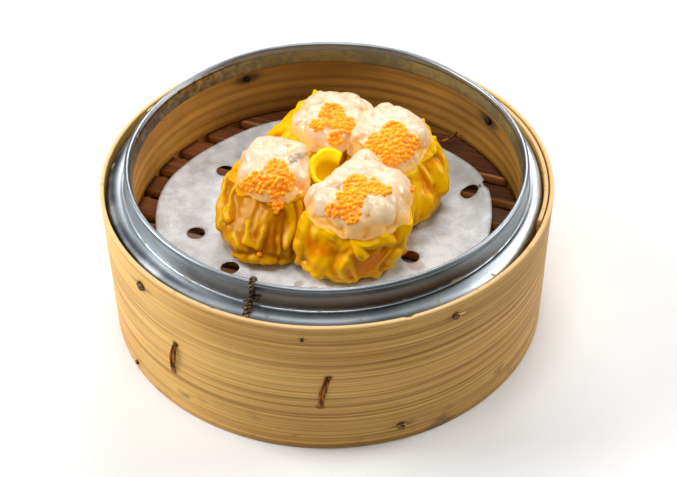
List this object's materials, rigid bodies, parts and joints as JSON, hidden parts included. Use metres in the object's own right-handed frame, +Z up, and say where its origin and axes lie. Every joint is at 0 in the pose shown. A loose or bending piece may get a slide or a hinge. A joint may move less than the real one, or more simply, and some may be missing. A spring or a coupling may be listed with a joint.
{
  "type": "basket of steamed dumplings",
  "caption": "Round bamboo steamer basket with a pressed metal rim and slatted floor, holding open-topped steamed dumplings with roe on a perforated paper liner.",
  "frame": {"origin": "centre of the box around the whole part, at the height of the surface it stands on, which is on the basket's axis", "axes": "+Z up along the basket's axis; -Y towards the viewer of the picture; +X to the viewer's right"},
  "size_m": [0.16, 0.1634, 0.0662],
  "materials": {
    "bamboo": "satin, with fine lengthwise fibres and brown stains",
    "bamboo_inner": "satin, brown from steaming",
    "slat_brown": "satin, dark brown",
    "steel": "bright pressed sheet, slightly worn",
    "rusty_wire": "dull, rusty",
    "rattan": "matt, dark reddish brown",
    "pin": "matt, dark brown",
    "paper": "greaseproof paper, damp and mottled",
    "dough": "wet glossy egg dough, slightly translucent",
    "meat": "wet glossy minced shrimp and pork",
    "roe": "wet translucent orange beads"
  },
  "bodies": {
    "root": {"filling_back": "meat", "filling_front": "meat", "filling_left": "meat", "filling_right": "meat", "inner_hoop": "bamboo_inner", "inner_pin_1": "pin", "inner_pin_2": "pin", "inner_tie": "rattan", "metal_ring": "steel", "middle_hoop": "bamboo", "outer_lap": "bamboo", "outer_pin_1": "pin", "outer_pin_2": "pin", "outer_pin_3": "pin", "outer_pin_4": "pin", "outer_pin_5": "pin", "outer_wrap": "bamboo", "paper_liner": "paper", "roe_back": "roe", "roe_front": "roe", "roe_left": "roe", "roe_right": "roe", "slat_01": "slat_brown", "slat_02": "slat_brown", "slat_03": "slat_brown", "slat_04": "slat_brown", "slat_05": "slat_brown", "slat_06": "slat_brown", "slat_07": "slat_brown", "slat_08": "slat_brown", "slat_09": "slat_brown", "stitch_1": "rattan", "stitch_2": "rattan", "stitch_3": "rattan", "stitch_4": "rattan", "support_hoop": "bamboo_inner", "wire_tie": "rusty_wire", "wrapper_back": "dough", "wrapper_front": "dough", "wrapper_left": "dough", "wrapper_right": "dough"}
  },
  "joints": []
}
